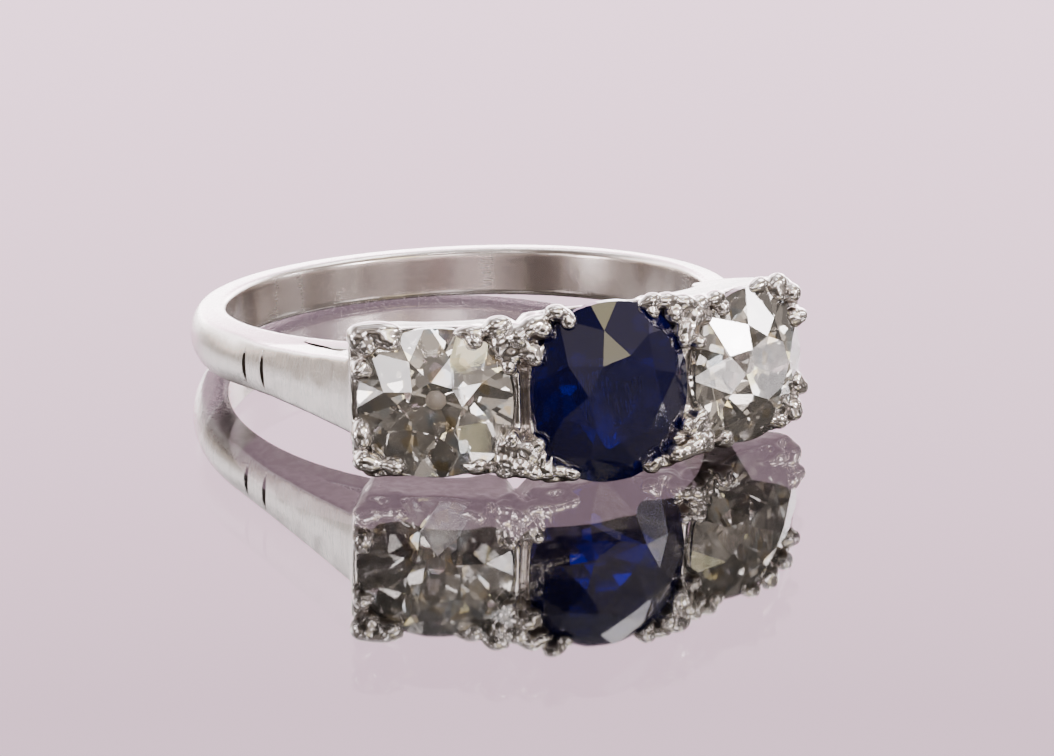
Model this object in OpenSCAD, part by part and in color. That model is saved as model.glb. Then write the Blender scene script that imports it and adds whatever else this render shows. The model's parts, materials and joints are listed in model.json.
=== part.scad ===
// Three-stone ring, lying on its side: an oval sapphire between two old-cut
// diamonds, in a claw-set head on a tapering band. Millimetres, degrees.
// The ring is built about its finger axis, Z, with the stones towards -Y. The
// last step leans it back onto its lower claws and the back of the band.

/* [Band] */
// Radius of the finger hole
finger_r = 8.5; // [8.2:0.1:8.8]
// Thickness of the band
band_t = 1.3; // [1.2:0.05:1.4]
// Half the width of the band at the finger hole
band_half_w = 1.06; // [1:0.02:1.1]
// Half the width of the band at its back
back_half_w = 0.88; // [0.8:0.01:0.9]
// Radius of the rounded outer side of the band
band_round_r = 1.3; // [1.25:0.05:1.5]
// Bevel along the two rims of the finger hole
rim_bevel = 0.15; // [0.05:0.05:0.25]

/* [Shoulders] */
// Angle from the middle of the head at which each shoulder starts
shoulder_start = 76.7; // [75:0.1:78]
// Length of a shoulder along its outer line
shoulder_len = 8; // [7.8:0.1:8.2]
// Half the width of a shoulder at its start, two bends and its end
shoulder_half_w = [0.84, 0.88, 1.04, 1.36];
// Half angle of the cone that rounds a shoulder's outer face
shoulder_spread = 25; // [20:0.5:28]
// Angle of the tip of the slot between finger rail and shoulder
slot_tip = 56.5; // [54:0.5:59]
// Height of the slot at the head
slot_h = 0.65; // [0.5:0.05:1]
// Angles of the two cuts across each shoulder
cut_angles = [72, 65.4];
// Depth of a cut
cut_depth = 0.12; // [0.08:0.01:0.16]

/* [Stones] */
// Width and height of the sapphire
sapphire_size = [5.45, 6];
// Width and height of the left diamond
diamond_left_size = [5.05, 4.95];
// Width and height of the right diamond
diamond_right_size = [5.35, 5.25];
// Distance of the girdles from the finger axis
girdle_r = 12.7; // [12.6:0.05:12.8]
// Angle of a side stone's place from the middle of the head
side_angle = 26; // [25.5:0.25:27]
// Angle at which a side stone faces
side_facing = 23.5; // [22:0.25:25]
// Crown height of the sapphire
sapphire_crown = 1.35; // [1:0.05:1.5]
// Crown height of a diamond
diamond_crown = 0.95; // [0.8:0.05:1.1]
// Sapphire: shares of its table and star tips, and turn of its facets
sapphire_cut = [0.48, 0.76, -9];
// Left diamond: shares of its table and star tips, and turn of its facets
diamond_left_cut = [0.36, 0.68, 4];
// Right diamond: shares of its table and star tips, and turn of its facets
diamond_right_cut = [0.41, 0.64, 0];
// Depth of the sapphire under its girdle
sapphire_depth = 2.3; // [2.2:0.05:2.5]
// Depth of a diamond under its girdle
diamond_depth = 2.25; // [2.2:0.05:2.4]
// Gap between a stone and the metal
stone_gap = 0.04; // [0.03:0.01:0.06]

/* [Head] */
// Thickness of the finger rail under the head
rail_t = 0.8; // [0.7:0.05:0.9]
// Wall outside a side stone at the end of the head
end_wall = 0.26; // [0.2:0.02:0.3]
// How far the side walls lean in, from girdle to rail
wall_lean = 0.5; // [0.3:0.05:0.6]
// Radius of the open hole under each stone
azure_r = 1.2; // [1.1:0.05:1.3]
// Radius of the arch under the sapphire
arch_mid_r = 2.6; // [2.4:0.05:2.7]
// Radius of the arch under each diamond
arch_side_r = 1.5; // [1.3:0.05:1.55]
// Radius of a claw
claw_r = 0.33; // [0.3:0.01:0.36]

/* [Hidden] */
$fn = 64;

outer_r = finger_r + band_t;
rail_r = finger_r + rail_t;
head_reach = 6;

// How the band's sides lean in outwards, and how its width grows forwards
side_slope = 0.174;
taper = 0.015;

// Facets of a cut stone, as shares of its half width, and its girdle
facet_step = 45;
lower_share = 0.5;
culet_share = 0.14;
blank_share = 1.07;
girdle_share = 0.012;
outline_steps = 48;
cushion_power = 2.25;

// Places of the three claws at a stone's corner, and of the one between two
// stones, as shares of a stone's half width and half height:
// [across, up, size, reach above the girdle]
ACROSS = 0;
UP = 1;
SIZE = 2;
REACH = 3;
claw_rows = [
    [0.53, 0.83, 1, 0.2],
    [0.85, 0.78, 1.1, 0.1],
    [0.96, 0.47, 0.9, 0.2],
];
shared_claw = [1.14, 0.72, 1.25, -0.05];
claw_lean = 12;
claw_len = 0.7;
claw_waist = 0.02;

// The collets, from left to right: [side, half width, half height, depth,
// radius of the corners, radius of the lower ends]
SIDE = 0;
HALF_W = 1;
HALF_H = 2;
DEPTH = 3;
CORNER_R = 4;
END_R = 5;
collet_rows = [
    [-1, diamond_left_size[0] / 2 + end_wall, diamond_left_size[1] / 2 + 0.02, 3.5, 3.4, 3.65],
    [0, sapphire_size[0] / 2 - 0.03, sapphire_size[1] / 2 - 0.08, 2.2, 3.7, 4.4],
    [1, diamond_right_size[0] / 2 + end_wall, diamond_right_size[1] / 2, 3.5, 3.53, 3.7],
];

// Head: top of the walls under the girdles, play, slope and foot of the seats,
// depth of the holes under them, and the posts and arches of the gallery
wall_top = 0.1;
seat_play = 0.13;
seat_slope = 0.9;
seat_foot = 0.8;
hole_depth = 4.1;
post_h = 1.3;
post_half_w = 0.9;
post_angle = 39;
arch_mid_place = 8.2;
arch_side_place = 8.6;

// The outer line of a shoulder starts just under the band's surface. Places of
// its changes of width, angle of its root in the head, length of its cone, and
// the wheel that cuts across it
line_inset = 0.02;
shoulder_y = [0.5, -4.3, -6.7, -9.9];
shoulder_root = 36;
shoulder_cone_len = 14;
wheel_r = 2.4;
wheel_rim = 0.4;

// Names of a cut's values
TABLE_SHARE = 0;
STAR_SHARE = 1;
TURN = 2;

// The lowest claws and the back of the band touch the surface at one lean
lowest = claw_rows[0];
lowest_place = [sapphire_size[0] / 2 * lowest[ACROSS], sapphire_size[1] / 2 * lowest[UP]];
lowest_y = girdle_r + lowest[REACH] - claw_len * cos(claw_lean);
lowest_z = lowest_place[1] * (1 + claw_len * sin(claw_lean) / norm(lowest_place));
back_y = (band_half_w - back_half_w + side_slope * finger_r - taper * outer_r)
    / (side_slope - taper);
back_z = back_half_w + taper * (outer_r - back_y);
reach_y = back_y + lowest_y;
reach_z = lowest_z - back_z;
lean = atan(reach_z / reach_y) + asin(claw_r / norm([reach_y, reach_z]));
hub_z = back_y * sin(lean) + back_z * cos(lean);
front_y = (girdle_r + sapphire_crown) * cos(lean) + sapphire_size[1] * sapphire_cut[TABLE_SHARE] / 2 * sin(lean);
rear_y = (outer_r - band_round_r) * cos(lean) + band_round_r;
hub_y = (front_y - rear_y) / 2;

// Puts the ring's own frame onto the surface
module at_rest() {
    translate([0, hub_y, hub_z]) rotate([-lean, 0, 0]) children();
}

// A stone's frame: its middle at the origin, Z out of its table, Y along the
// finger axis. Side is -1 for the left stone, 0 for the middle, 1 for the right.
module at_stone(side) {
    rotate([0, 0, side * side_angle])
        translate([0, -girdle_r, 0])
            rotate([0, 0, side * (side_facing - side_angle)])
                rotate([90, 0, 0])
                    children();
}

function ring_point(radius, angle) = [-radius * sin(angle), -radius * cos(angle)];

// Cut stone

function turn(share, angle, z) = [share * cos(angle), share * sin(angle), z];
function between(share, outer, inner) = (outer - share) / (outer - inner);

// Corners of a brilliant with unit half width, ring by ring from the table
// down: table, star tips, girdle top, girdle bottom, lower tips, culet
function brilliant_points(cut, crown, depth) = let (
    half = facet_step / 2,
    g = girdle_share,
    table = cut[TABLE_SHARE],
    star = cut[STAR_SHARE],
    first = cut[TURN],
    next = first + half,
    star_rise = between(star * cos(half), blank_share, table),
    lower_fall = between(lower_share * cos(half), blank_share, culet_share * cos(half))
) [
    for (i = [0:7]) turn(table, first + i * facet_step, crown),
    for (i = [0:7]) turn(star, next + i * facet_step, g + (crown - g) * star_rise),
    for (i = [0:15]) turn(blank_share, first + i * half, g),
    for (i = [0:15]) turn(blank_share, first + i * half, -g),
    for (i = [0:7]) turn(lower_share, next + i * facet_step, -g - (depth - g) * lower_fall),
    for (i = [0:7]) turn(culet_share, next + i * facet_step, -depth),
];

TABLE = 0;
STAR = 8;
TOP = 16;
BOTTOM = 32;
LOWER = 48;
CULET = 56;

function brilliant_faces() = [
    [for (i = [7:-1:0]) TABLE + i],
    for (i = [0:7]) let (n = (i + 1) % 8) [TABLE + i, TABLE + n, STAR + i],
    for (i = [0:7]) [TABLE + i, STAR + i, TOP + 2 * i, STAR + (i + 7) % 8],
    for (i = [0:7]) [STAR + i, TOP + 2 * i + 1, TOP + 2 * i],
    for (i = [0:7]) [STAR + i, TOP + (2 * i + 2) % 16, TOP + 2 * i + 1],
    for (i = [0:15]) let (n = (i + 1) % 16) [TOP + i, TOP + n, BOTTOM + n, BOTTOM + i],
    for (i = [0:7]) [LOWER + i, BOTTOM + 2 * i, BOTTOM + 2 * i + 1],
    for (i = [0:7]) [LOWER + i, BOTTOM + 2 * i + 1, BOTTOM + (2 * i + 2) % 16],
    for (i = [0:7]) let (p = (i + 7) % 8)
        [BOTTOM + 2 * i, LOWER + i, CULET + i, CULET + p, LOWER + p],
    [for (i = [0:7]) CULET + i],
];

// Outline of a cushion: between an ellipse and a rectangle
function cushion(half_w, half_h) = [
    for (i = [0:outline_steps - 1]) let (
        a = i * 360 / outline_steps,
        r = pow(pow(abs(cos(a)), cushion_power) + pow(abs(sin(a)), cushion_power), -1 / cushion_power)
    ) [half_w * r * cos(a), half_h * r * sin(a)]
];

// A stone of this size, grown on every side, with flat facets and a girdle
// that follows the cushion outline
module cut_stone(size, cut, crown, depth, grow) {
    half_w = size[0] / 2 + grow;
    half_h = size[1] / 2 + grow;
    points = brilliant_points(cut, crown + grow, depth + grow);
    intersection() {
        polyhedron(
            [for (p = points) [p[0] * half_w, p[1] * half_h, p[2]]],
            brilliant_faces()
        );
        linear_extrude(height = 2 * (crown + depth), center = true)
            polygon(cushion(half_w, half_h));
    }
}

module sapphire_stone(grow = 0) {
    at_stone(0) cut_stone(sapphire_size, sapphire_cut, sapphire_crown, sapphire_depth, grow);
}

module diamond_left_stone(grow = 0) {
    at_stone(-1)
        cut_stone(diamond_left_size, diamond_left_cut, diamond_crown, diamond_depth, grow);
}

module diamond_right_stone(grow = 0) {
    at_stone(1)
        cut_stone(diamond_right_size, diamond_right_cut, diamond_crown, diamond_depth, grow);
}

// Band

// Section of the band: sides that lean in a little, rounded outside
module band_section() {
    intersection() {
        translate([outer_r - band_round_r, 0]) circle(band_round_r);
        polygon([
            [finger_r - 0.4, -band_half_w - 0.4 * side_slope],
            [outer_r + 0.2, -band_half_w + (band_t + 0.2) * side_slope],
            [outer_r + 0.2, band_half_w - (band_t + 0.2) * side_slope],
            [finger_r - 0.4, band_half_w + 0.4 * side_slope],
        ]);
    }
}

// Side view that narrows the band towards its back
module band_taper() {
    front = [-outer_r - 1, back_half_w + taper * (2 * outer_r + 1)];
    back = [outer_r + 1, back_half_w - taper];
    rotate([90, 0, 90])
        linear_extrude(height = 3 * outer_r, center = true)
            polygon([front, back, [back[0], -back[1]], [front[0], -front[1]]]);
}

// The plan of the head's side of the ring, out to this angle either way
module head_sector(angle) {
    polygon([
        [0, 0],
        ring_point(2 * outer_r, angle),
        ring_point(2 * outer_r, -angle),
    ]);
}

// The band all the way round, thinned to the finger rail under the head
module band() {
    difference() {
        intersection() {
            rotate_extrude() band_section();
            band_taper();
        }
        linear_extrude(height = 2 * head_reach, center = true)
            difference() {
                head_sector(slot_tip);
                circle(rail_r);
            }
    }
}

// Shoulder

// Frame of the left shoulder: at its start on the band's outer side, with Y
// back along the shoulder's outer line and X into the ring
module at_shoulder() {
    start = ring_point(outer_r - line_inset, shoulder_start);
    translate([start[0], start[1], 0]) rotate([0, 0, 90 - shoulder_start]) children();
}

// Outline of the left shoulder from above
module shoulder_plan() {
    start = ring_point(outer_r - line_inset, shoulder_start);
    end = start + shoulder_len * [cos(shoulder_start), -sin(shoulder_start)];
    polygon([
        start,
        end,
        end + [1.6, 0.8],
        ring_point(rail_r - 0.3, shoulder_root),
        ring_point(finger_r - 0.6, slot_tip),
        ring_point(finger_r - 0.3, shoulder_start),
    ]);
}

// The slot between the finger rail and the left shoulder
module shoulder_slot() {
    polygon([
        ring_point(rail_r - line_inset, slot_tip),
        ring_point(rail_r + slot_h, shoulder_root + 6),
        ring_point(rail_r + slot_h, shoulder_root - 3),
        ring_point(rail_r - 0.5, shoulder_root - 3),
    ]);
}

// Side view of a shoulder, which widens it towards the head
module shoulder_width() {
    last = len(shoulder_y) - 1;
    polygon(concat(
        [for (i = [0:last]) [shoulder_y[i], shoulder_half_w[i]]],
        [for (i = [last:-1:0]) [shoulder_y[i], -shoulder_half_w[i]]]
    ));
}

// The cone of the shoulder's outer face: as round as the band where the
// shoulder starts, and flatter towards the head
module shoulder_cone() {
    apex_back = band_round_r / tan(shoulder_spread);
    at_shoulder()
        translate([0, apex_back, 0])
            rotate([90, 0, 0])
                rotate([0, shoulder_spread, 0])
                    cylinder(h = shoulder_cone_len, r1 = 0, r2 = shoulder_cone_len * tan(shoulder_spread));
}

// One cut across the shoulder's outer face, as a wheel leaves it
module cross_cut(angle) {
    along = outer_r * tan(shoulder_start - angle);
    at_shoulder()
        translate([cut_depth - wheel_r, -along, 0])
            rotate([90, 0, 0])
                rotate_extrude()
                    polygon([
                        [wheel_r - wheel_rim, -wheel_rim / 2],
                        [wheel_r, 0],
                        [wheel_r - wheel_rim, wheel_rim / 2],
                    ]);
}

module shoulder_left() {
    difference() {
        intersection() {
            linear_extrude(height = 2 * head_reach, center = true) shoulder_plan();
            rotate([90, 0, 90])
                linear_extrude(height = 4 * head_reach, center = true) shoulder_width();
            shoulder_cone();
        }
        linear_extrude(height = 2 * head_reach, center = true) shoulder_slot();
    }
}

// Head

// The solid block of one collet: side walls that lean in, rounded corners and
// rounded lower ends
module collet_block(row) {
    half_h = row[HALF_H];
    depth = row[DEPTH];
    intersection() {
        rotate([90, 0, 90])
            linear_extrude(height = 2 * row[HALF_W], center = true)
                polygon([
                    [-half_h, -wall_top],
                    [half_h, -wall_top],
                    [half_h - wall_lean, -depth],
                    [-half_h + wall_lean, -depth],
                ]);
        translate([0, 0, -depth])
            cylinder(h = depth, r1 = row[CORNER_R] - wall_lean, r2 = row[CORNER_R]);
        rotate([90, 0, 0]) cylinder(h = 4 * half_h, r = row[END_R], center = true);
    }
}

// Seat of a stone of this width and height, and the open hole under it. The
// seat narrows to less than the hole, so that it runs out in the hole's wall.
module seat(width, height) {
    half_w = width / 2 + seat_play;
    foot_r = azure_r * seat_foot;
    depth = (half_w - foot_r) / seat_slope;
    scale([1, height / width, 1])
        translate([0, 0, -depth]) cylinder(h = depth, r1 = foot_r, r2 = half_w);
    translate([0, 0, -hole_depth]) cylinder(h = hole_depth - depth / 2, r = azure_r);
}

// One claw: a short round-ended bar that leans in over the stone's edge
module claw(size, row, across, up) {
    x = across * row[ACROSS] * size[0] / 2;
    y = up * row[UP] * size[1] / 2;
    r = claw_r * row[SIZE];
    rotate([0, 0, atan2(y, x)])
        translate([norm([x, y]), 0, row[REACH]])
            rotate([0, -claw_lean, 0]) {
                sphere(r);
                translate([0, 0, -claw_len]) cylinder(h = claw_len, r = r - claw_waist);
                translate([0, 0, -claw_len]) sphere(r);
            }
}

module claws(size, rows) {
    for (row = rows, across = [-1, 1], up = [-1, 1])
        claw(size, row, across, up);
}

// Posts that carry the collets on the finger rail
module gallery_posts() {
    linear_extrude(height = 2 * post_half_w, center = true)
        difference() {
            intersection() {
                circle(rail_r + post_h);
                head_sector(post_angle);
            }
            circle(rail_r - 0.3);
        }
}

// Arches through the gallery under the three stones
module arches() {
    translate([0, -arch_mid_place, 0])
        cylinder(h = 2 * head_reach, r = arch_mid_r, center = true);
    for (side = [-1, 1])
        rotate([0, 0, side * side_angle])
            translate([0, -arch_side_place, 0])
                cylinder(h = 2 * head_reach, r = arch_side_r, center = true);
}

module head() {
    difference() {
        union() {
            for (row = collet_rows) at_stone(row[SIDE]) collet_block(row);
            gallery_posts();
        }
        arches();
        at_stone(0) seat(sapphire_size[0], sapphire_size[1]);
        at_stone(-1) seat(diamond_left_size[0], diamond_left_size[0]);
        at_stone(1) seat(diamond_right_size[0], diamond_right_size[0]);
    }
    at_stone(0) claws(sapphire_size, concat(claw_rows, [shared_claw]));
    at_stone(-1) claws(diamond_left_size, claw_rows);
    at_stone(1) claws(diamond_right_size, claw_rows);
}

// Bevels along the two rims of the finger hole
module finger_bevels() {
    mid_half_w = back_half_w + taper * outer_r;
    for (side = [0, 1])
        mirror([0, 0, side])
            rotate([-atan(taper), 0, 0])
                translate([0, 0, mid_half_w - rim_bevel - 1])
                    cylinder(h = 2, r1 = finger_r - 1, r2 = finger_r + 1);
}

// Nodes

module shank_and_setting() {
    color("silver") at_rest()
        difference() {
            union() {
                band();
                for (side = [0, 1])
                    mirror([side, 0, 0])
                        difference() {
                            shoulder_left();
                            for (angle = cut_angles) cross_cut(angle);
                        }
                head();
            }
            sapphire_stone(stone_gap);
            diamond_left_stone(stone_gap);
            diamond_right_stone(stone_gap);
            cylinder(h = 2 * head_reach, r = finger_r, center = true);
            finger_bevels();
        }
}

module sapphire() {
    color("darkblue") at_rest() sapphire_stone();
}

module diamond_left() {
    color("whitesmoke") at_rest() diamond_left_stone();
}

module diamond_right() {
    color("whitesmoke") at_rest() diamond_right_stone();
}

shank_and_setting();
sapphire();
diamond_left();
diamond_right();
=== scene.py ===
import json
import math

import bpy
import numpy as np
from mathutils import Matrix, Quaternion, Vector

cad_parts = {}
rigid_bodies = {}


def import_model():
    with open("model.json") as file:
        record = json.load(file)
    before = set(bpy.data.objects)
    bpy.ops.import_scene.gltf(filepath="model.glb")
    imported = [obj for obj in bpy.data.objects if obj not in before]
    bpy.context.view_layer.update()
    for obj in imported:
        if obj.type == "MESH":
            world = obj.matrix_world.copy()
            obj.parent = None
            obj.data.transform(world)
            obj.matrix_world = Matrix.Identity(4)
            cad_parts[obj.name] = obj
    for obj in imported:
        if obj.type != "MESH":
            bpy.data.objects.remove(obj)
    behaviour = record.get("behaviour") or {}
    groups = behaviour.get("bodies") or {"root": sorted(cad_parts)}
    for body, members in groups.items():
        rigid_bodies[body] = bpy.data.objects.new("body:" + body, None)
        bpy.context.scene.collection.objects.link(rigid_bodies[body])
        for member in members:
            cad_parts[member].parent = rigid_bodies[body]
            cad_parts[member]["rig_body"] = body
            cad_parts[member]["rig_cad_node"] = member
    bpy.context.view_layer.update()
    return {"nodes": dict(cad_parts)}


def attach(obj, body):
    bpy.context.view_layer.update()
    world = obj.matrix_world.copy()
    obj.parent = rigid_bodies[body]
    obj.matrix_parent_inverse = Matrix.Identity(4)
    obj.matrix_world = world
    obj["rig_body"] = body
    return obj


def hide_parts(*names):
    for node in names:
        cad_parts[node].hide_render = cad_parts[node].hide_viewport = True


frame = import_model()

# Metres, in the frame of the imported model: the ring lies on Z = 0 with its
# stones towards -Y, and leans back by LEAN about its hub, the middle of the
# finger hole.
MM = 0.001
LEAN = math.radians(5.42464)
HUB = Vector((0, 2.18347 * MM, 1.77939 * MM))
LEFT, MIDDLE, RIGHT = -1, 0, 1

# Places of the head and the shoulders, as the solids have them
STONE_TURN = 26
STONE_SWING = -2.5
GIRDLE_AWAY = 12.7 * MM
FINGER_R = 8.5 * MM
SHOULDER_ANGLE = 76.7
BAND_OUTER_R = 9.8 * MM

# The head, mm: how far it reaches to either side of each stone's middle, how
# softly it ends there, and the heights over which it begins below the girdles
HEAD_REACH = ((LEFT, 2.75), (MIDDLE, 3.3), (RIGHT, 2.9))
HEAD_END = 0.25
HEAD_FOOT = (-2.2, -1.6)

# Where the picture is taken from: turn and rise in degrees, lens in mm, and
# how far the camera looks to the right of the aim and below it, in radians
AIM = Vector((0, 2.19 * MM, 2.0 * MM))
CAMERA_TURN = -21.61
CAMERA_RISE = 17.02
CAMERA_AWAY = 130 * MM
CAMERA_LENS = 124.46
CAMERA_SENSOR = 36
CAMERA_RIGHT = 0.01675
CAMERA_DOWN = 0.01762

# Light of the tent by rise above the table, as rows of rise, light and tint:
# in the camera's background, on the sides, and in front of the ring
BRIGHTEST = 16
ROSE = (1.0, 0.68, 0.84)
PEARL = (1.0, 0.93, 0.95)
SAND = (1.0, 0.86, 0.76)
OLIVE = (1.0, 0.88, 0.48)
BEHIND = (
    (-90, 16.0, PEARL), (0, 16.0, PEARL), (8, 12.0, PEARL), (11, 7.0, ROSE), (17, 5.3, ROSE),
    (23, 3.7, ROSE), (40, 3.0, PEARL), (70, 2.0, PEARL),
)
ON_SIDES = (
    (-90, 1.6, SAND), (0, 1.6, SAND), (8, 1.8, SAND), (18, 4.8, PEARL), (27, 4.8, PEARL),
    (36, 1.4, PEARL), (50, 0.8, PEARL), (85, 0.6, PEARL),
)
IN_FRONT = (
    (-90, 0.4, SAND), (0, 0.4, SAND), (18, 0.45, SAND), (66, 0.35, SAND), (80, 1.0, PEARL),
)

# What the inside of the hoop faces by way of the table, and the dark low in
# front of the ring
FILL = 1.2
DARK = (0.005, 0.004, 0.003, 1)

# Parts of the tent, each laid over the ones before: turn and rise of its
# middle, and how far from there it ends and is whole. The dark is flattened.
FILL_PLACE = (18, 28, 26, 14)
SIDES_PLACE = (-170, 8, 66, 42)
BEHIND_PLACE = (160, 8, 40, 20)
DARK_PLACE = (-25, 0, 60, 40)
DARK_FLATNESS = 5

# Soft panels on the front of the tent: how fine they are, the noise between
# which their light changes, and their least and most light
PANEL_SCALE = 4
PANEL_NOISE = (0.35, 0.65)
PANEL_LIGHT = (0.3, 1.8)

# Softboxes: turn from the front, rise, size across at LAMP_AWAY, brightness
# and tint
LAMP_AWAY = 0.40
SOFTBOXES = {
    "overhead": (176, 50, (0.18, 0.08), 6, PEARL),
    "window_front": (35, 26.5, (0.056, 0.056), 60, PEARL),
    "window_right": (81, 25.2, (0.042, 0.042), 28, PEARL),
    "window_high": (13, 39, (0.10, 0.10), 3.4, OLIVE),
    "window_top": (56.5, 65.5, (0.042, 0.042), 4.6, OLIVE),
    "window_left": (-56, 50, (0.05, 0.05), 9, PEARL),
    "bank_left": (-74, 22, (0.08, 0.06), 7, PEARL),
    "bank_low_left": (-88, 7, (0.10, 0.05), 24, PEARL),
    "bank_by_camera": (-12, 30, (0.12, 0.12), 6, PEARL),
    "bank_right": (128, 20, (0.16, 0.16), 7, PEARL),
    "bank_top_right": (115, 62, (0.16, 0.16), 7, PEARL),
    "spark_front": (16, 8, (0.05, 0.05), 14, PEARL),
    "spark_right": (72, 11, (0.04, 0.04), 7, PEARL),
    "spark_top": (-4, 68, (0.035, 0.035), 30, PEARL),
}

# Table: its width, how rough its gloss is, what its face and its underside
# reflect, how much light the face lets through, and how deep that seems
TABLE_WIDTH = 3
TABLE_ROUGHNESS = 0.03
TOP_GLOSS = 0.32
TOP_CLEAR = 0.6
UNDER_GLOSS = 0.12
UNDER_DEPTH = 0.93 * MM

# Worn claws in their stone's frame, mm: stone, middle, half sizes, turn of
# the tip, and how far the tip narrows
WORN_CLAWS = (
    (LEFT, (-2.22, 2.20, 0.12), (0.60, 0.50, 0.40), -30, 0.3),
    (LEFT, (-1.45, 2.15, 0.14), (0.52, 0.38, 0.38), -20, 0.3),
    (LEFT, (-1.86, 2.42, 0.06), (0.92, 0.34, 0.40), 0, 0.0),
    (LEFT, (-2.27, 1.18, 0.12), (0.46, 0.36, 0.32), -25, 0.6),
    (LEFT, (-2.42, -0.95, 0.12), (0.52, 0.38, 0.38), 90, 0.1),
    (LEFT, (-2.34, -1.83, 0.12), (0.44, 0.36, 0.36), 10, 0.2),
    (LEFT, (-1.42, -1.99, 0.12), (0.52, 0.28, 0.32), 0, 0.2),
    (LEFT, (1.12, -2.13, 0.12), (0.48, 0.27, 0.30), 160, 0.4),
    (LEFT, (1.12, 2.32, 0.10), (0.55, 0.24, 0.28), 185, 0.3),
    (LEFT, (2.06, 2.50, 0.10), (0.52, 0.36, 0.36), 20, 0.2),
    (LEFT, (2.46, 1.52, 0.14), (0.56, 0.32, 0.32), 215, 0.6),
    (LEFT, (2.43, -1.65, 0.05), (0.62, 0.48, 0.30), -30, 0.3),
    (LEFT, (2.24, -2.32, 0.05), (0.42, 0.28, 0.32), 0, 0.2),
    (MIDDLE, (-2.62, 2.48, 0.05), (0.58, 0.34, 0.38), 20, 0.2),
    (MIDDLE, (-1.73, 2.82, 0.16), (0.52, 0.28, 0.32), -15, 0.4),
    (MIDDLE, (-2.66, 1.64, 0.14), (0.56, 0.32, 0.32), -5, 0.65),
    (MIDDLE, (-2.74, -1.79, 0.08), (0.66, 0.36, 0.30), -45, 0.5),
    (MIDDLE, (-2.65, -2.40, 0.05), (0.42, 0.28, 0.32), 0, 0.2),
    (MIDDLE, (-1.77, -2.42, 0.14), (0.54, 0.27, 0.30), -10, 0.5),
    (MIDDLE, (1.26, -2.62, 0.16), (0.44, 0.28, 0.32), 160, 0.4),
    (MIDDLE, (2.70, -2.28, 0.05), (0.44, 0.36, 0.36), 0, 0.2),
    (MIDDLE, (1.41, 2.84, 0.16), (0.46, 0.27, 0.30), 200, 0.4),
    (MIDDLE, (2.10, 2.80, 0.05), (0.50, 0.28, 0.36), 5, 0.2),
    (MIDDLE, (2.75, 2.66, 0.05), (0.48, 0.30, 0.38), -10, 0.2),
    (MIDDLE, (2.66, 1.80, 0.08), (0.48, 0.30, 0.32), 190, 0.4),
    (RIGHT, (-2.18, -2.34, 0.05), (0.38, 0.30, 0.32), 0, 0.2),
    (RIGHT, (-2.60, -1.50, 0.06), (0.62, 0.48, 0.30), 60, 0.3),
    (RIGHT, (-1.30, -2.40, 0.12), (0.42, 0.24, 0.28), 180, 0.3),
    (RIGHT, (-1.62, 2.56, 0.08), (0.48, 0.27, 0.34), 10, 0.2),
    (RIGHT, (-2.30, 2.50, 0.05), (0.46, 0.30, 0.36), 0, 0.2),
    (RIGHT, (-2.84, 1.69, 0.08), (0.42, 0.36, 0.32), -10, 0.3),
    (RIGHT, (1.43, 2.44, 0.12), (0.50, 0.40, 0.36), 215, 0.2),
    (RIGHT, (0.51, 2.60, 0.12), (0.50, 0.28, 0.32), 190, 0.3),
    (RIGHT, (2.26, 1.20, 0.14), (0.44, 0.38, 0.34), 185, 0.5),
    (RIGHT, (2.36, -1.06, 0.12), (0.48, 0.34, 0.34), 100, 0.1),
    (RIGHT, (2.18, -1.84, 0.12), (0.38, 0.34, 0.34), 160, 0.2),
    (RIGHT, (1.06, -2.10, 0.12), (0.46, 0.27, 0.32), 175, 0.3),
)

# Where a claw narrows: the height that its tip narrows towards, and rows of
# place along the claw and share of the narrowing
CLAW_FOOT = -0.3
CLAW_STEPS = ((0.0, 0.30), (0.35, 0.35), (0.7, 0.35))

# Rows of ribs that the graver left on the wedges between the stones: stone,
# first and last middle, number, turn. A rib's half sizes and height, mm.
GRAVER_RIBS = (
    (LEFT, (1.98, -1.42), (2.78, -1.74), 5, 82),
    (MIDDLE, (-2.92, -1.60), (-2.30, -2.10), 4, 68),
    (LEFT, (2.16, 1.72), (2.70, 1.44), 4, 60),
    (MIDDLE, (-2.98, 1.72), (-2.44, 1.60), 4, 80),
    (RIGHT, (-2.92, -1.30), (-2.30, -1.72), 4, 40),
    (MIDDLE, (2.42, 1.92), (2.92, 1.70), 3, 75),
)
RIB = (0.34, 0.075, 0.10)
RIB_HEIGHT = 0.30

# Cuts across each shoulder: angles from the middle of the head, the wheel that
# made them, their depth, how far the shoulder's line is set in, and what
# counts as level
CUT_ANGLES = (72, 65.4)
WHEEL_R = 2.4 * MM
WHEEL_SIDES = 200
CUT_DEPTH = 0.23 * MM
LINE_INSET = 0.02 * MM
NEAR_ZERO = 0.0001 * MM

# Slit between finger rail and left shoulder, mm: its ends from above, its
# width at the head, the share of that at the tip, how high its middle lies,
# and its own height
SLIT_TIP = Vector((-7.70, -2.38))
SLIT_HEAD = Vector((-6.95, -4.80))
SLIT_WIDTH = 0.76
SLIT_TIP_SHARE = 0.05
SLIT_MIDDLE = 3.3
SLIT_HEIGHT = 2.2

# Metal: how near vertices are merged, the cells of the first and the last
# melt, rounds of smoothing on the head between them, on all after them and on
# the band alone, the soft dents, and the most triangles before the cuts
MERGE_WITHIN = 0.0005 * MM
FIRST_CELL = 0.06 * MM
LAST_CELL = 0.045 * MM
FIRST_ROUNDS = 14
LAST_ROUNDS = 17
BAND_ROUNDS = 8
SMOOTHING = 0.5
DENT_WIDTH = 0.55 * MM
DENT_DEPTH = 0.02 * MM
MOST_TRIANGLES = 184000

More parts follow.
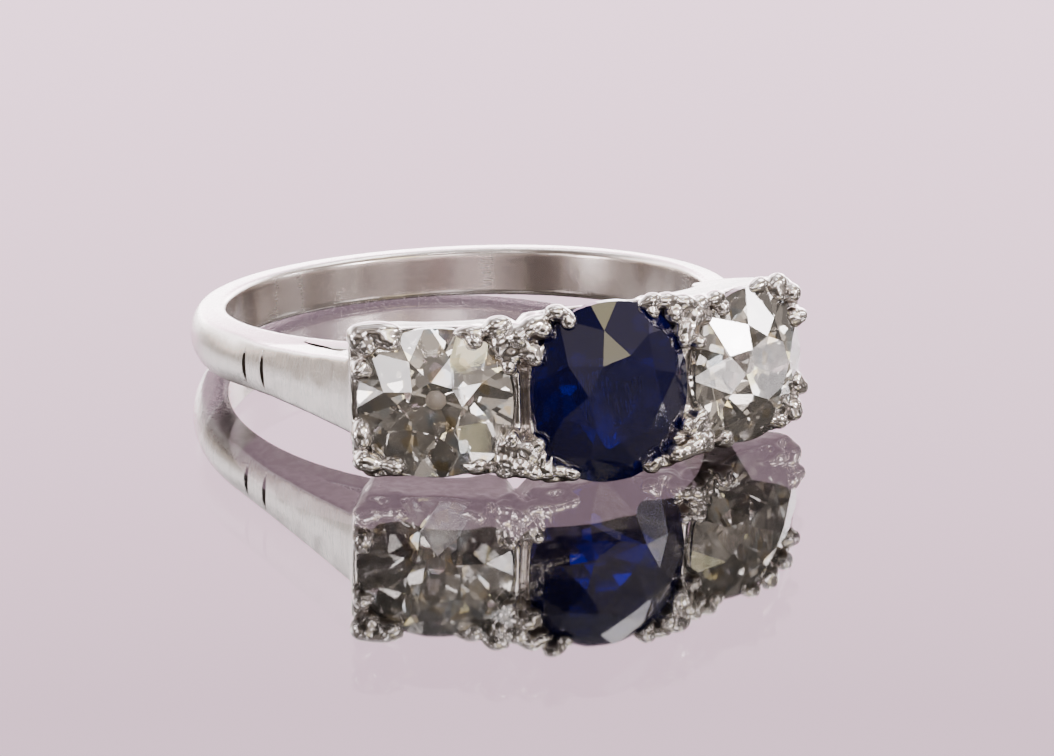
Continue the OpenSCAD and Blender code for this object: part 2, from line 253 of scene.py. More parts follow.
# Hollows, where grime and painted shade go: rounds and share of the smoothing
# that finds them, the depths at which one starts and is full, and what of that
# counts on the band and how much less on the head
HOLLOW_ROUNDS = 24
HOLLOW_SHARE = 0.6
HOLLOW_DEPTH = (0.012 * MM, 0.07 * MM)
HOLLOW_ON_BAND = 0.9
HOLLOW_LESS_ON_HEAD = 0.5

# Undersides, darkened with painted shade: how far down they face where it
# starts and is full, and how far back from the stones it goes
UNDER_FACING = (0.25, 0.8)
UNDER_BACK = 4 * MM

# Finger hole: how far from its wall the wall's finish starts and ends to fade
HOLE_FADE = (0.02 * MM, 0.12 * MM)

# Walls of a cut, painted dark as shade: how far hollow goes there, where the
# rest ends at 1, and how far off the uncut surface they start and are full
CUT_HOLLOW = 2.0
CUT_FADE = (0.01 * MM, 0.05 * MM)
UNCUT_WITHIN = 0.02 * MM

# Colours of the metal
PALE_METAL = (0.89, 0.85, 0.83, 1)
GREY_METAL = (0.80, 0.755, 0.735, 1)
STREAKED_METAL = (0.66, 0.62, 0.60, 1)
DULL_METAL = (0.54, 0.475, 0.445, 1)
RUBBED_METAL = (0.92, 0.86, 0.83, 1)
# Grime and painted shade in the hollows, painted shade on the undersides
GRIME_AND_PAINTED_SHADE = (0.15, 0.115, 0.09, 1)
# Painted shade on the walls of the cuts and slits
PAINTED_CUT_SHADE = (0.03, 0.022, 0.018, 1)

# Colours of the stones
DEEP_BLUE = (0.012, 0.012, 0.50, 1)
GROWTH_BLUE = (0.03, 0.035, 0.56, 1)
ABSORBED_BLUE = (0.03, 0.04, 0.56, 1)
WARM_WHITE = (1.0, 0.98, 0.94, 1)
CLOUDY_WHITE = (0.97, 0.94, 0.88, 1)
# Painted flashes of fire: coloured glints set in the base colour
PAINTED_AMBER_FIRE = (1.0, 0.78, 0.42, 1)
PAINTED_COOL_FIRE = (0.72, 0.88, 1.0, 1)


def only(piece):
    """Leaves this piece alone selected and active."""
    bpy.ops.object.select_all(action="DESELECT")
    piece.select_set(True)
    bpy.context.view_layer.objects.active = piece


def points_of(piece):
    """Places of a piece's vertices, as rows."""
    flat = np.empty(3 * len(piece.data.vertices), np.float32)
    piece.data.vertices.foreach_get("co", flat)
    return flat.reshape(-1, 3).astype(float)


def edges_of(piece):
    """The two vertices of each edge, as rows."""
    ends = np.empty(2 * len(piece.data.edges), np.int32)
    piece.data.edges.foreach_get("vertices", ends)
    return ends.reshape(-1, 2)


def normals_of(piece):
    """Normals of a piece's vertices, as rows."""
    flat = np.empty(3 * len(piece.data.vertices), np.float32)
    piece.data.vertices.foreach_get("normal", flat)
    return flat.reshape(-1, 3)


def smooth_step(low, high, values):
    """0 at low, 1 at high, and eased between them."""
    share = np.clip((values - low) / (high - low), 0, 1)
    return share * share * (3 - 2 * share)


# Camera and light

def towards(turn, rise):
    """Direction at this turn from the ring's front and this rise."""
    a, e = math.radians(turn), math.radians(rise)
    return Vector((math.sin(a) * math.cos(e), -math.cos(a) * math.cos(e), math.sin(e)))


def add_camera():
    """Looks at the ring from the left and a little above it."""
    back = towards(CAMERA_TURN, CAMERA_RISE)
    bpy.ops.object.camera_add(location=AIM + back * CAMERA_AWAY)
    camera = bpy.context.object
    camera.rotation_mode = "QUATERNION"
    turn_right = Quaternion((0, 1, 0), -CAMERA_RIGHT)
    turn_down = Quaternion((1, 0, 0), -CAMERA_DOWN)
    camera.rotation_quaternion = (-back).to_track_quat("-Z", "Y") @ turn_right @ turn_down
    camera.data.lens = CAMERA_LENS
    camera.data.sensor_width = CAMERA_SENSOR
    camera.data.clip_start = 1 * MM
    camera.data.clip_end = 20
    bpy.context.scene.camera = camera


def add_softbox(name, turn, rise, size, light, tint):
    """A studio light that faces the ring, this bright to look at."""
    place = AIM + towards(turn, rise) * LAMP_AWAY
    bpy.ops.object.light_add(type="AREA", location=place)
    lamp = bpy.context.object
    lamp.name = name
    lamp.rotation_mode = "QUATERNION"
    lamp.rotation_quaternion = (AIM - place).to_track_quat("-Z", "Y")
    lamp.data.shape = "RECTANGLE"
    lamp.data.size, lamp.data.size_y = size
    lamp.data.color = tint
    lamp.data.energy = light * math.pi * size[0] * size[1]


def level(nodes, stops):
    """A ramp of light from straight down, 0, to straight up, 1."""
    ramp = nodes.new("ShaderNodeValToRGB")
    elements = ramp.color_ramp.elements
    while len(elements) > 1:
        elements.remove(elements[-1])
    for i, (rise, light, tint) in enumerate(stops):
        place = 0.5 + 0.5 * math.sin(math.radians(rise))
        element = elements[0] if i == 0 else elements.new(place)
        element.position = place
        element.color = tuple(light * c / BRIGHTEST for c in tint) + (1,)
    return ramp


def facing(nodes, links, way, turn, rise, wide, narrow):
    """1 in this direction, and 0 past a wide angle from it."""
    dot = nodes.new("ShaderNodeVectorMath")
    dot.operation = "DOT_PRODUCT"
    dot.inputs[1].default_value = towards(turn, rise)
    links.new(way, dot.inputs[0])
    share = nodes.new("ShaderNodeMapRange")
    share.interpolation_type = "SMOOTHSTEP"
    share.inputs["From Min"].default_value = math.cos(math.radians(wide))
    share.inputs["From Max"].default_value = math.cos(math.radians(narrow))
    links.new(dot.outputs["Value"], share.inputs["Value"])
    return share.outputs["Result"]


def light_by_rise(nodes, links, way):
    """The tent's light behind the ring, on the sides and in front."""
    parts = nodes.new("ShaderNodeSeparateXYZ")
    links.new(way, parts.inputs[0])
    half = nodes.new("ShaderNodeMath")
    half.operation = "MULTIPLY_ADD"
    half.inputs[1].default_value = 0.5
    half.inputs[2].default_value = 0.5
    links.new(parts.outputs["Z"], half.inputs[0])
    ramps = [level(nodes, stops) for stops in (BEHIND, ON_SIDES, IN_FRONT)]
    for ramp in ramps:
        links.new(half.outputs[0], ramp.inputs[0])
    return [ramp.outputs["Color"] for ramp in ramps]


def with_panels(nodes, links, way, light):
    """This light, broken up by soft panels."""
    noise = nodes.new("ShaderNodeTexNoise")
    noise.inputs["Scale"].default_value = PANEL_SCALE
    noise.inputs["Detail"].default_value = 0
    links.new(way, noise.inputs["Vector"])
    share = nodes.new("ShaderNodeMapRange")
    share.inputs["From Min"].default_value, share.inputs["From Max"].default_value = PANEL_NOISE
    share.inputs["To Min"].default_value, share.inputs["To Max"].default_value = PANEL_LIGHT
    links.new(noise.outputs["Fac"], share.inputs["Value"])
    lit = nodes.new("ShaderNodeVectorMath")
    lit.operation = "SCALE"
    links.new(light, lit.inputs[0])
    links.new(share.outputs["Result"], lit.inputs["Scale"])
    return lit.outputs[0]


def flattened(nodes, links, way):
    """Direction with its rise made steeper, so that what it picks is flat."""
    steeper = nodes.new("ShaderNodeVectorMath")
    steeper.operation = "MULTIPLY"
    steeper.inputs[1].default_value = (1, 1, DARK_FLATNESS)
    links.new(way, steeper.inputs[0])
    flat = nodes.new("ShaderNodeVectorMath")
    flat.operation = "NORMALIZE"
    links.new(steeper.outputs[0], flat.inputs[0])
    return flat.outputs[0]


def laid_over(nodes, links, under, over, share):
    """One colour over another, where share says."""
    blend = nodes.new("ShaderNodeMix")
    blend.data_type = "RGBA"
    links.new(share, blend.inputs["Factor"])
    links.new(under, blend.inputs["A"])
    if isinstance(over, tuple):
        blend.inputs["B"].default_value = over
    else:
        links.new(over, blend.inputs["B"])
    return blend.outputs["Result"]


def tent():
    """The pale tent round the table: bright behind the ring, dim in front."""
    world = bpy.data.worlds.new("tent")
    bpy.context.scene.world = world
    world.use_nodes = True
    nodes, links = world.node_tree.nodes, world.node_tree.links
    nodes.clear()
    way = nodes.new("ShaderNodeTexCoord").outputs["Generated"]
    behind, aside, front = light_by_rise(nodes, links, way)
    flat = flattened(nodes, links, way)
    fill = tuple(FILL / BRIGHTEST * c for c in SAND) + (1,)
    colour = with_panels(nodes, links, way, front)
    for over, along, place in (
        (fill, way, FILL_PLACE),
        (aside, way, SIDES_PLACE),
        (behind, way, BEHIND_PLACE),
        (DARK, flat, DARK_PLACE),
    ):
        share = facing(nodes, links, along, *place)
        colour = laid_over(nodes, links, colour, over, share)
    glow = nodes.new("ShaderNodeBackground")
    glow.inputs["Strength"].default_value = BRIGHTEST
    out = nodes.new("ShaderNodeOutputWorld")
    links.new(colour, glow.inputs["Color"])
    links.new(glow.outputs[0], out.inputs["Surface"])


def table_gloss(name, share, clear):
    """Reflects this share of the light and lets this share through."""
    gloss = new_material(name)
    nodes, links = gloss.node_tree.nodes, gloss.node_tree.links
    nodes.remove(nodes["Principled BSDF"])
    mirror = nodes.new("ShaderNodeBsdfGlossy")
    mirror.inputs["Color"].default_value = (share, share, share, 1)
    mirror.inputs["Roughness"].default_value = TABLE_ROUGHNESS
    through = nodes.new("ShaderNodeBsdfTransparent")
    through.inputs["Color"].default_value = (clear, clear, clear, 1)
    both = nodes.new("ShaderNodeAddShader")
    links.new(mirror.outputs[0], both.inputs[0])
    links.new(through.outputs[0], both.inputs[1])
    links.new(both.outputs[0], nodes["Material Output"].inputs["Surface"])
    return gloss


def add_floor():
    """A glossy pale table top: a clear sheet over a second, fainter face."""
    for name, height, share, clear in (
        ("table_top", 0, TOP_GLOSS, TOP_CLEAR),
        ("table_under", -UNDER_DEPTH, UNDER_GLOSS, 0),
    ):
        bpy.ops.mesh.primitive_plane_add(size=TABLE_WIDTH, location=(0, 0, height))
        face = bpy.context.object
        bpy.ops.object.transform_apply()
        face.name = name
        face.data.materials.append(table_gloss(name + "_gloss", share, clear))


# Finishes

class Finish:
    """A material and short ways to add its nodes."""

    def __init__(self, name):
        self.material = new_material(name)
        self.nodes = self.material.node_tree.nodes
        self.links = self.material.node_tree.links
        self.shader = self.nodes["Principled BSDF"]
        self.place = self.nodes.new("ShaderNodeTexCoord").outputs["Object"]

    def join(self, value, socket):
        """A link where value is a node's output, else a number or colour."""
        if isinstance(value, bpy.types.NodeSocket):
            self.links.new(value, socket)
        else:
            socket.default_value = value

    def stretched(self, scale, turn=(0, 0, 0)):
        """Object coordinates, turned and then stretched by this much a metre."""
        turned = self.nodes.new("ShaderNodeMapping")
        turned.inputs["Rotation"].default_value = turn
        self.links.new(self.place, turned.inputs["Vector"])
        wide = self.nodes.new("ShaderNodeVectorMath")
        wide.operation = "MULTIPLY"
        wide.inputs[1].default_value = scale
        self.links.new(turned.outputs[0], wide.inputs[0])
        return wide.outputs[0]

    def noise(self, where, detail=3.0, rough=0.5, warp=0.0):
        """Soft random values from 0 to 1, whose size where gives."""
        grain = self.nodes.new("ShaderNodeTexNoise")
        grain.inputs["Scale"].default_value = 1.0
        grain.inputs["Detail"].default_value = detail
        grain.inputs["Roughness"].default_value = rough
        grain.inputs["Distortion"].default_value = warp
        self.links.new(where, grain.inputs["Vector"])
        return grain.outputs["Fac"]

    def math(self, operation, a, b=0.0):
        """One step of arithmetic on two values."""
        step = self.nodes.new("ShaderNodeMath")
        step.operation = operation
        self.join(a, step.inputs[0])
        self.join(b, step.inputs[1])
        return step.outputs[0]

    def between(self, value, low, high, to_low=0.0, to_high=1.0):
        """Value from low to high, as a value from to_low to to_high."""
        span = self.nodes.new("ShaderNodeMapRange")
        self.join(value, span.inputs["Value"])
        self.join(low, span.inputs["From Min"])
        self.join(high, span.inputs["From Max"])
        self.join(to_low, span.inputs["To Min"])
        self.join(to_high, span.inputs["To Max"])
        return span.outputs["Result"]

    def mix(self, share, a, b):
        """Two colours or outputs, mixed by share."""
        blend = self.nodes.new("ShaderNodeMix")
        blend.data_type = "RGBA"
        self.join(share, blend.inputs["Factor"])
        self.join(a, blend.inputs["A"])
        self.join(b, blend.inputs["B"])
        return blend.outputs["Result"]

    def relief(self, height, strength, distance, under=None):
        """A normal that follows this height, over the relief under it."""
        bump = self.nodes.new("ShaderNodeBump")
        self.join(strength, bump.inputs["Strength"])
        bump.inputs["Distance"].default_value = distance
        self.links.new(height, bump.inputs["Height"])
        if under is not None:
            self.links.new(under, bump.inputs["Normal"])
        return bump.outputs["Normal"]

    def set(self, **values):
        """Sets sockets of the shader, each named with _ for a space."""
        for name, value in values.items():
            self.join(value, self.shader.inputs[name.replace("_", " ")])


def new_material(name):
    """An empty material with a Principled shader."""
    material = bpy.data.materials.new(name)
    material.use_nodes = True
    return material


def wear_and_shade_shares(finish):
    """Hollow share for grime and painted shade, head and inside, as the metal stores them."""
    wear_and_shade = finish.nodes.new("ShaderNodeAttribute")
    wear_and_shade.attribute_name = "wear_and_shade"
    shares = finish.nodes.new("ShaderNodeSeparateColor")
    finish.links.new(wear_and_shade.outputs["Color"], shares.inputs[0])
    return [shares.outputs[i] for i in range(3)]


def brush_lines(finish, inside, patches):
    """Lines across the band, and patches with faint lines round its inside."""
    across = finish.noise(finish.stretched((9000, 9000, 700)), 4.0, 0.6)
    round_hoop = finish.noise(finish.stretched((500, 500, 11000), (LEAN, 0, 0)), 4.0, 0.6)
    return finish.mix(inside, across, finish.mix(0.15, patches, round_hoop))


def metal_colour(finish, hollow, inside, pits, patches):
    """Pale with streaks, duller inside the hoop, with grime and painted shade in the hollows and
    painted shade underneath and in the cuts.
    """
    cloud = finish.noise(finish.stretched((700, 700, 700)), 3.0, 0.55)
    streaks = finish.noise(finish.stretched((2600, 2600, 90)), 3.0, 0.6)
    clean = finish.mix(finish.between(cloud, 0.3, 0.7), PALE_METAL, GREY_METAL)
    clean = finish.mix(finish.between(streaks, 0.5, 0.75, 0.0, 0.5), clean, STREAKED_METAL)
    dull = finish.mix(finish.between(patches, 0.38, 0.62), DULL_METAL, RUBBED_METAL)
    clean = finish.mix(inside, clean, dull)
    # Grime and painted shade in the hollows, painted shade on the undersides
    grime_and_shade = finish.math("MULTIPLY", hollow, finish.between(pits, 0.35, 0.6, 0.9, 1.0))
    grimed_and_shaded = finish.mix(grime_and_shade, clean, GRIME_AND_PAINTED_SHADE)
    # Walls of the cuts and slits painted near black as shade
    return finish.mix(finish.between(hollow, 1.0, CUT_HOLLOW), grimed_and_shaded, PAINTED_CUT_SHADE)


def metal_gloss(finish, hollow, head, lines, pits):
    """Satin on the band, brighter on the head, and rougher in the hollows."""
    satin = finish.between(lines, 0.3, 0.7, 0.20, 0.30)
    bright = finish.between(pits, 0.3, 0.7, 0.12, 0.24)
    gloss = finish.mix(head, satin, bright)
    return finish.math("ADD", gloss, finish.math("MULTIPLY", hollow, 0.15))


def metal_relief(finish, head, inside, lines, pits):
    """Brush lines and fine scratches on the band, pits on the head."""
    wander = finish.noise(finish.stretched((420, 420, 900), (0.6, 0.3, 0.8)), 1.0, 0.5, 0.8)
    off_middle = finish.math("ABSOLUTE", finish.math("SUBTRACT", wander, 0.5))
    scratch = finish.between(off_middle, 0.0, 0.0035, 1.0, 0.0)
    on_band = finish.between(head, 0.0, 1.0, 0.7, 0.05)
    brushing = finish.math("MULTIPLY", on_band, finish.between(inside, 0.0, 1.0, 1.0, 0.02))
    scratching = finish.between(inside, 0.0, 1.0, 0.25, 0.0)
    pitting = finish.between(head, 0.0, 1.0, 0.0, 0.12)
    brushed = finish.relief(lines, brushing, 0.012 * MM)
    scratched = finish.relief(scratch, scratching, 0.006 * MM, brushed)
    return finish.relief(pits, pitting, 0.03 * MM, scratched)


def white_gold():
    """Satin band and bright claws, with grime and painted shade in the recesses, by the stored
    wear and shade.
    """
    finish = Finish("white_gold")
    hollow, head, inside = wear_and_shade_shares(finish)
    patches = finish.noise(finish.stretched((380, 380, 60)), 2.0, 0.5)
    pits = finish.noise(finish.stretched((3000, 3000, 3000)), 3.0, 0.5, 0.4)
    lines = brush_lines(finish, inside, patches)
    finish.set(
        Base_Color=metal_colour(finish, hollow, inside, pits, patches),
        Metallic=1.0,
        Roughness=metal_gloss(finish, hollow, head, lines, pits),
        Normal=metal_relief(finish, head, inside, lines, pits),
    )
    return finish.material


def sapphire_blue():
    """Deep blue with paler growth bands and a polish that wear has dulled."""
    finish = Finish("sapphire_blue")
    bands = finish.noise(finish.stretched((260, 900, 420), (0.2, 0.4, 0.5)), 2.0, 0.5)
    specks = finish.noise(finish.stretched((7000, 7000, 7000)), 2.0, 0.6)
    finish.set(
        Base_Color=finish.mix(finish.between(bands, 0.35, 0.65), DEEP_BLUE, GROWTH_BLUE),
        Roughness=finish.between(specks, 0.5, 0.75, 0.0, 0.10),
        IOR=1.68,
        Specular_IOR_Level=0.4,
        Transmission_Weight=0.95,
        Normal=finish.relief(specks, 0.12, 0.004 * MM),
    )
    absorb(finish, ABSORBED_BLUE, 1400)
    return finish.material


def old_cut_white():
    """Slightly warm and cloudy, with small painted flashes of fire."""
    finish = Finish("old_cut_white")
    cloud = finish.noise(finish.stretched((900, 900, 900)), 2.0, 0.5)
    specks = finish.noise(finish.stretched((6000, 6000, 6000)), 2.0, 0.6)
    cells = finish.nodes.new("ShaderNodeTexVoronoi")
    cells.inputs["Scale"].default_value = 1.0
    finish.links.new(finish.stretched((2600, 2600, 2600)), cells.inputs["Vector"])
    pick = finish.nodes.new("ShaderNodeSeparateColor")
    finish.links.new(cells.outputs["Color"], pick.inputs[0])
    body = finish.mix(finish.between(cloud, 0.35, 0.65), WARM_WHITE, CLOUDY_WHITE)
    # Painted glints of fire in a few cells
    body = finish.mix(finish.between(pick.outputs[0], 0.90, 0.93), body, PAINTED_AMBER_FIRE)
    body = finish.mix(finish.between(pick.outputs[1], 0.93, 0.96), body, PAINTED_COOL_FIRE)
    finish.set(
        Base_Color=body,
        Roughness=finish.between(cloud, 0.5, 0.8, 0.0, 0.06),
        IOR=2.417,
        Transmission_Weight=0.955,
        Normal=finish.relief(specks, 0.06, 0.003 * MM),
    )
    return finish.material


def absorb(finish, colour, density):
    """Lets the stone take up light on its way through."""
    volume = finish.nodes.new("ShaderNodeVolumeAbsorption")
    volume.inputs["Color"].default_value = colour
    volume.inputs["Density"].default_value = density
    finish.links.new(volume.outputs[0], finish.nodes["Material Output"].inputs["Volume"])


# Metal

def stone_place(side):
    """Frame of a stone: X across, Y up, Z out from its girdle."""
    return (
        Matrix.Translation(HUB)
        @ Matrix.Rotation(-LEAN, 4, "X")
        @ Matrix.Rotation(math.radians(side * STONE_TURN), 4, "Z")
        @ Matrix.Translation((0, -GIRDLE_AWAY, 0))
        @ Matrix.Rotation(math.radians(side * STONE_SWING), 4, "Z")
        @ Matrix.Rotation(math.radians(90), 4, "X")
    )


def merged_copy(node, name):
    """A copy of a node's mesh, with its loose triangles joined."""
    only(node)
    bpy.ops.object.duplicate()
    piece = bpy.context.object
    piece.name = name
    piece.data.name = name
    piece.data.materials.clear()
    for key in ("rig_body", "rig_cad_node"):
        if key in piece:
            del piece[key]
    bpy.ops.object.parent_clear(type="CLEAR_KEEP_TRANSFORM")
    bpy.ops.object.mode_set(mode="EDIT")
    bpy.ops.mesh.select_all(action="SELECT")
    bpy.ops.mesh.remove_doubles(threshold=MERGE_WITHIN)
    bpy.ops.object.mode_set(mode="OBJECT")
    return piece


def apply_modifier(piece, kind, **settings):
    """Adds a modifier with these settings and applies it."""
    only(piece)
    modifier = piece.modifiers.new(kind.lower(), kind)
    for key, value in settings.items():
        setattr(modifier, key, value)
    bpy.ops.object.modifier_apply(modifier=modifier.name)


def group(piece, name, shares):
    """A vertex group of these weights, in steps of a tenth."""
    made = piece.vertex_groups.get(name) or piece.vertex_groups.new(name=name)
    steps = np.round(shares * 10).astype(int)
    for step in range(1, 11):
        chosen = np.nonzero(steps == step)[0]
        if len(chosen):
            made.add(chosen.tolist(), step / 10, "REPLACE")


def head_share(points):
    """1 on the collets and claws, 0 on the band and shoulders."""
    share = np.zeros(len(points))
    rows = np.c_[points, np.ones(len(points))]
    for side, reach in HEAD_REACH:
        there = rows @ np.array(stone_place(side).inverted()).T / MM
        across = 1 - smooth_step(reach, reach + HEAD_END, np.abs(there[:, 0]))
        share = np.maximum(share, across * smooth_step(*HEAD_FOOT, there[:, 2]))
    return share


def select_points(piece, chosen):
    """Selects these vertices for the next operator in edit mode."""
    bpy.ops.object.mode_set(mode="EDIT")
    bpy.ops.mesh.select_mode(type="VERT")
    bpy.ops.mesh.select_all(action="DESELECT")
    bpy.ops.object.mode_set(mode="OBJECT")
    piece.data.vertices.foreach_set("select", chosen)
    bpy.ops.object.mode_set(mode="EDIT")


def claw_model(point):
    """A round-ended claw, a unit in each half size, narrowed towards +X."""
    bpy.ops.mesh.primitive_uv_sphere_add(segments=28, ring_count=16, radius=1)
    claw = bpy.context.object
    for start, share in CLAW_STEPS:
        select_points(claw, points_of(claw)[:, 0] > start)
        narrow = 1 - point * share
        bpy.ops.transform.resize(value=(1, narrow, narrow), center_override=(start, 0, CLAW_FOOT))
        bpy.ops.object.mode_set(mode="OBJECT")
    return claw


def place_claw(model, side, middle, half, turn):
    """A copy of a claw, in place on its stone."""
    only(model)
    bpy.ops.object.duplicate()
    claw = bpy.context.object
    claw.matrix_world = (
        stone_place(side)
        @ Matrix.Translation(Vector(middle) * MM)
        @ Matrix.Rotation(math.radians(turn), 4, "Z")
        @ Matrix.Diagonal((half[0] * MM, half[1] * MM, half[2] * MM, 1))
    )
    bpy.ops.object.transform_apply()
    return claw


def graver_ribs():
    """Place of each rib: stone, middle, half sizes, turn, and no narrowing."""
    places = []
    for side, first, last, number, turn in GRAVER_RIBS:
        for i in range(number):
            share = i / (number - 1)
            middle = [a + (b - a) * share for a, b in zip(first, last)] + [RIB_HEIGHT]
            places.append((side, middle, RIB, turn, 0.0))
    return places


def worn_claws():
    """The claws and ribs that wear and the graver shaped, one by one."""
    made = []
    models = {}
    for side, middle, half, turn, point in list(WORN_CLAWS) + graver_ribs():
        if point not in models:
            models[point] = claw_model(point)
        made.append(place_claw(models[point], side, middle, half, turn))
    for model in models.values():
        only(model)
        bpy.ops.object.delete()
    return made


def join_to(piece, others):
    """Makes the others part of the piece."""
    only(piece)
    for other in others:
        other.select_set(True)
    bpy.ops.object.join()


def wheel_model():
    """A cutting wheel round Z: two flat cones, base to base."""
    half = WHEEL_R / 2
    bpy.ops.mesh.primitive_cone_add(
        vertices=WHEEL_SIDES, radius1=WHEEL_R, radius2=0, depth=half, location=(0, 0, half / 2)
    )
    wheel = bpy.context.object
    bpy.ops.object.transform_apply()
    base = np.abs(points_of(wheel)[:, 2]) < NEAR_ZERO
    select_points(wheel, base)
    bpy.ops.mesh.select_mode(type="FACE")
    bpy.ops.mesh.poke(offset=half)
    bpy.ops.object.mode_set(mode="OBJECT")
    return wheel


def wheel_place(angle, mirror):
    """Where a wheel cuts a shoulder, at this angle from the head's middle."""
    start_r = BAND_OUTER_R - LINE_INSET
    start = math.radians(SHOULDER_ANGLE)
    along = BAND_OUTER_R * math.tan(math.radians(SHOULDER_ANGLE - angle))
    return (
        Matrix.Translation(HUB)
        @ Matrix.Rotation(-LEAN, 4, "X")
        @ Matrix.Diagonal((mirror, 1, 1, 1))
        @ Matrix.Translation((-start_r * math.sin(start), -start_r * math.cos(start), 0))
        @ Matrix.Rotation(math.radians(90 - SHOULDER_ANGLE), 4, "Z")
        @ Matrix.Translation((CUT_DEPTH - WHEEL_R, -along, 0))
        @ Matrix.Rotation(math.radians(90), 4, "X")
    )


def cut_wheels():
    """The wheels that cut across the shoulders, two a side."""
    wheels = []
    for angle in CUT_ANGLES:
        for mirror in (1, -1):
            wheel = wheel_model()
            wheel.matrix_world = wheel_place(angle, mirror)
            bpy.ops.object.transform_apply()
            turn_outwards(wheel)
            wheels.append(wheel)
    return wheels


def slits():
    """Thin wedges that part the finger rail from the shoulders."""
    wedges = []
    run = SLIT_HEAD - SLIT_TIP
    middle = (SLIT_TIP + SLIT_HEAD) / 2
    for side in (1, -1):
        bpy.ops.mesh.primitive_cube_add(size=1)
        wedge = bpy.context.object
        select_points(wedge, points_of(wedge)[:, 0] < 0)
        bpy.ops.transform.resize(value=(1, SLIT_TIP_SHARE, 1))
        bpy.ops.object.mode_set(mode="OBJECT")
        wedge.matrix_world = (
            Matrix.Diagonal((side, 1, 1, 1))
            @ Matrix.Translation(Vector((middle.x, middle.y, SLIT_MIDDLE)) * MM)
            @ Matrix.Rotation(math.atan2(run.y, run.x), 4, "Z")
            @ Matrix.Diagonal((run.length * MM, SLIT_WIDTH * MM, SLIT_HEIGHT * MM, 1))
        )
        bpy.ops.object.transform_apply()
        turn_outwards(wedge)
        wedges.append(wedge)
    return wedges


def turn_outwards(piece):
    """Turns every face of a closed piece outwards."""
    bpy.ops.object.mode_set(mode="EDIT")
    bpy.ops.mesh.select_all(action="SELECT")
    bpy.ops.mesh.normals_make_consistent(inside=False)
    bpy.ops.object.mode_set(mode="OBJECT")


def neighbour_mean(rows, edges):
    """Mean of the rows of each vertex's neighbours."""
    total = np.zeros_like(rows)
    ends = np.r_[edges[:, 0], edges[:, 1]]
    others = np.r_[edges[:, 1], edges[:, 0]]
    for k in range(rows.shape[1]):
        total[:, k] = np.bincount(ends, rows[others, k], len(rows))
    return total / np.maximum(np.bincount(ends, minlength=len(rows)), 1)[:, None]


def hollow_share(points, normals, edges):
    """0 on flats and ridges, up to 1 where smoothing would fill the metal."""
    softened = points
    for _ in range(HOLLOW_ROUNDS):
        filled = neighbour_mean(softened, edges)
        softened = softened * (1 - HOLLOW_SHARE) + filled * HOLLOW_SHARE
    depth = ((softened - points) * normals).sum(1)
    hollow = smooth_step(*HOLLOW_DEPTH, depth)[:, None]
    for _ in range(2):
        hollow = neighbour_mean(hollow, edges)
    return hollow[:, 0]


def inside_share(points):
    """1 on the wall of the finger hole, 0 on the rest."""
    from_hub = (np.array(Matrix.Rotation(LEAN, 3, "X")) @ (points - np.array(HUB)).T).T
    away_from_axis = np.hypot(from_hub[:, 0], from_hub[:, 1]) - FINGER_R
    return 1 - smooth_step(*HOLE_FADE, away_from_axis)


def cut_share(mesh, fine):
    """1 at the corners of faces that a wheel or slit made, 0 on the rest."""
    deep = [away(fine, face.center) for face in mesh.polygons]
    corners = [len(face.vertices) for face in mesh.polygons]
    return smooth_step(*CUT_FADE, np.repeat(deep, corners))


def mark_wear_and_shade(piece, fine):
    """Stores where the metal is hollow, on the head, and inside the hoop, and where grime and
    painted shade go.
    """
    mesh = piece.data
    points, normals = points_of(piece), normals_of(piece)
    head = head_share(points)
    # Undersides towards the stones: painted shade
    down = smooth_step(*UNDER_FACING, -normals[:, 2])
    below = down * (1 - smooth_step(0, UNDER_BACK, points[:, 1]))
    hollow = hollow_share(points, normals, edges_of(piece))
    hollow = np.maximum(hollow * (HOLLOW_ON_BAND - HOLLOW_LESS_ON_HEAD * head), below)
    shares = np.c_[hollow, head, inside_share(points), np.ones(len(points))]
    corners = np.empty(len(mesh.loops), np.int32)
    mesh.loops.foreach_get("vertex_index", corners)
    shares = shares[corners]
    # Walls of the cuts and slits: painted shade
    shares[:, 0] = np.maximum(shares[:, 0], CUT_HOLLOW * cut_share(mesh, fine))
    wear_and_shade = mesh.attributes.new("wear_and_shade", "FLOAT_COLOR", "CORNER")
    wear_and_shade.data.foreach_set("color", shares.astype(np.float32).ravel())


def away(surface, place):
    """Distance of a place from a piece's surface."""
    return (surface.closest_point_on_mesh(place)[1] - place).length


def keep_shading(piece, fine):
    """Takes the fine mesh's normals wherever the piece still follows it."""
    gaps = np.array([away(fine, vertex.co) for vertex in piece.data.vertices])
    cut = (gaps > UNCUT_WITHIN).astype(float)[:, None]
    near_cut = (neighbour_mean(cut, edges_of(piece)) + cut)[:, 0]
    group(piece, "fine", (near_cut == 0).astype(float))
    apply_modifier(
        piece, "DATA_TRANSFER", object=fine, use_loop_data=True,
        data_types_loops={"CUSTOM_NORMAL"}, loop_mapping="POLYINTERP_NEAREST", vertex_group="fine",
    )
    piece.vertex_groups.clear()


def melt_in_claws(piece):
    """Melts the sharp claws down and the worn ones into the metal."""
    apply_modifier(piece, "REMESH", mode="VOXEL", voxel_size=FIRST_CELL)
    group(piece, "head", head_share(points_of(piece)))
    apply_modifier(
        piece, "SMOOTH", factor=SMOOTHING, iterations=FIRST_ROUNDS, vertex_group="head"
    )
    join_to(piece, worn_claws())
    apply_modifier(piece, "REMESH", mode="VOXEL", voxel_size=LAST_CELL)
    piece.vertex_groups.clear()


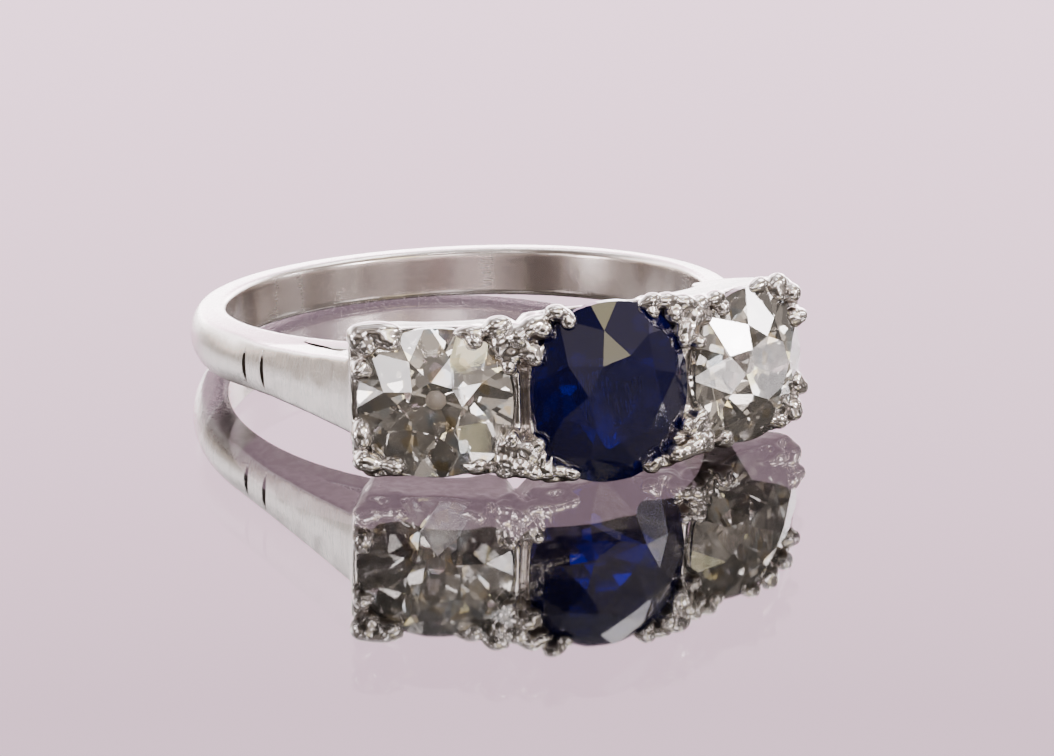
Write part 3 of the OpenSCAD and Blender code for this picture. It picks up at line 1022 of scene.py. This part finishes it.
def soften(piece):
    """Rounds every edge and leaves soft dents on the head."""
    head = head_share(points_of(piece))
    group(piece, "head", head)
    group(piece, "band", 1 - head)
    apply_modifier(piece, "SMOOTH", factor=SMOOTHING, iterations=LAST_ROUNDS)
    apply_modifier(
        piece, "SMOOTH", factor=SMOOTHING, iterations=BAND_ROUNDS, vertex_group="band"
    )
    dents = bpy.data.textures.new("dents", "CLOUDS")
    dents.noise_scale = DENT_WIDTH
    dents.noise_depth = 1
    apply_modifier(
        piece, "DISPLACE", texture=dents, texture_coords="LOCAL", strength=DENT_DEPTH,
        mid_level=0.5, vertex_group="head",
    )
    piece.vertex_groups.clear()


def cut_out(piece, cutters):
    """Takes each cutter away from the piece."""
    for cutter in cutters:
        apply_modifier(piece, "BOOLEAN", object=cutter, operation="DIFFERENCE", solver="MANIFOLD")
        only(cutter)
        bpy.ops.object.delete()


def dress_metal(piece):
    """Wears the claws and edges, cuts the shoulders and marks the wear and the painted shade."""
    melt_in_claws(piece)
    soften(piece)
    only(piece)
    bpy.ops.object.shade_smooth()
    bpy.ops.object.duplicate()
    fine = bpy.context.object
    triangles = 2 * len(piece.data.polygons)
    apply_modifier(piece, "DECIMATE", ratio=MOST_TRIANGLES / max(MOST_TRIANGLES, triangles))
    cut_out(piece, cut_wheels() + slits())
    only(piece)
    bpy.ops.object.shade_smooth()
    mark_wear_and_shade(piece, fine)
    keep_shading(piece, fine)
    only(fine)
    bpy.ops.object.delete()


def add_metal(node):
    """The worn metal, which stands for the solid one."""
    metal = merged_copy(node, "ring_metal")
    dress_metal(metal)
    metal.data.materials.clear()
    metal.data.materials.append(white_gold())
    one_slot = np.zeros(len(metal.data.polygons), np.int32)
    metal.data.polygons.foreach_set("material_index", one_slot)
    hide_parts("shank_and_setting")
    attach(metal, "root")


def finish_stones(nodes):
    """Gives the three stones their materials."""
    blue, white = sapphire_blue(), old_cut_white()
    for name, material in (("sapphire", blue), ("diamond_left", white), ("diamond_right", white)):
        nodes[name].data.materials.clear()
        nodes[name].data.materials.append(material)


add_camera()
tent()
add_floor()
for name, values in SOFTBOXES.items():
    add_softbox(name, *values)
add_metal(frame["nodes"]["shank_and_setting"])
finish_stones(frame["nodes"])
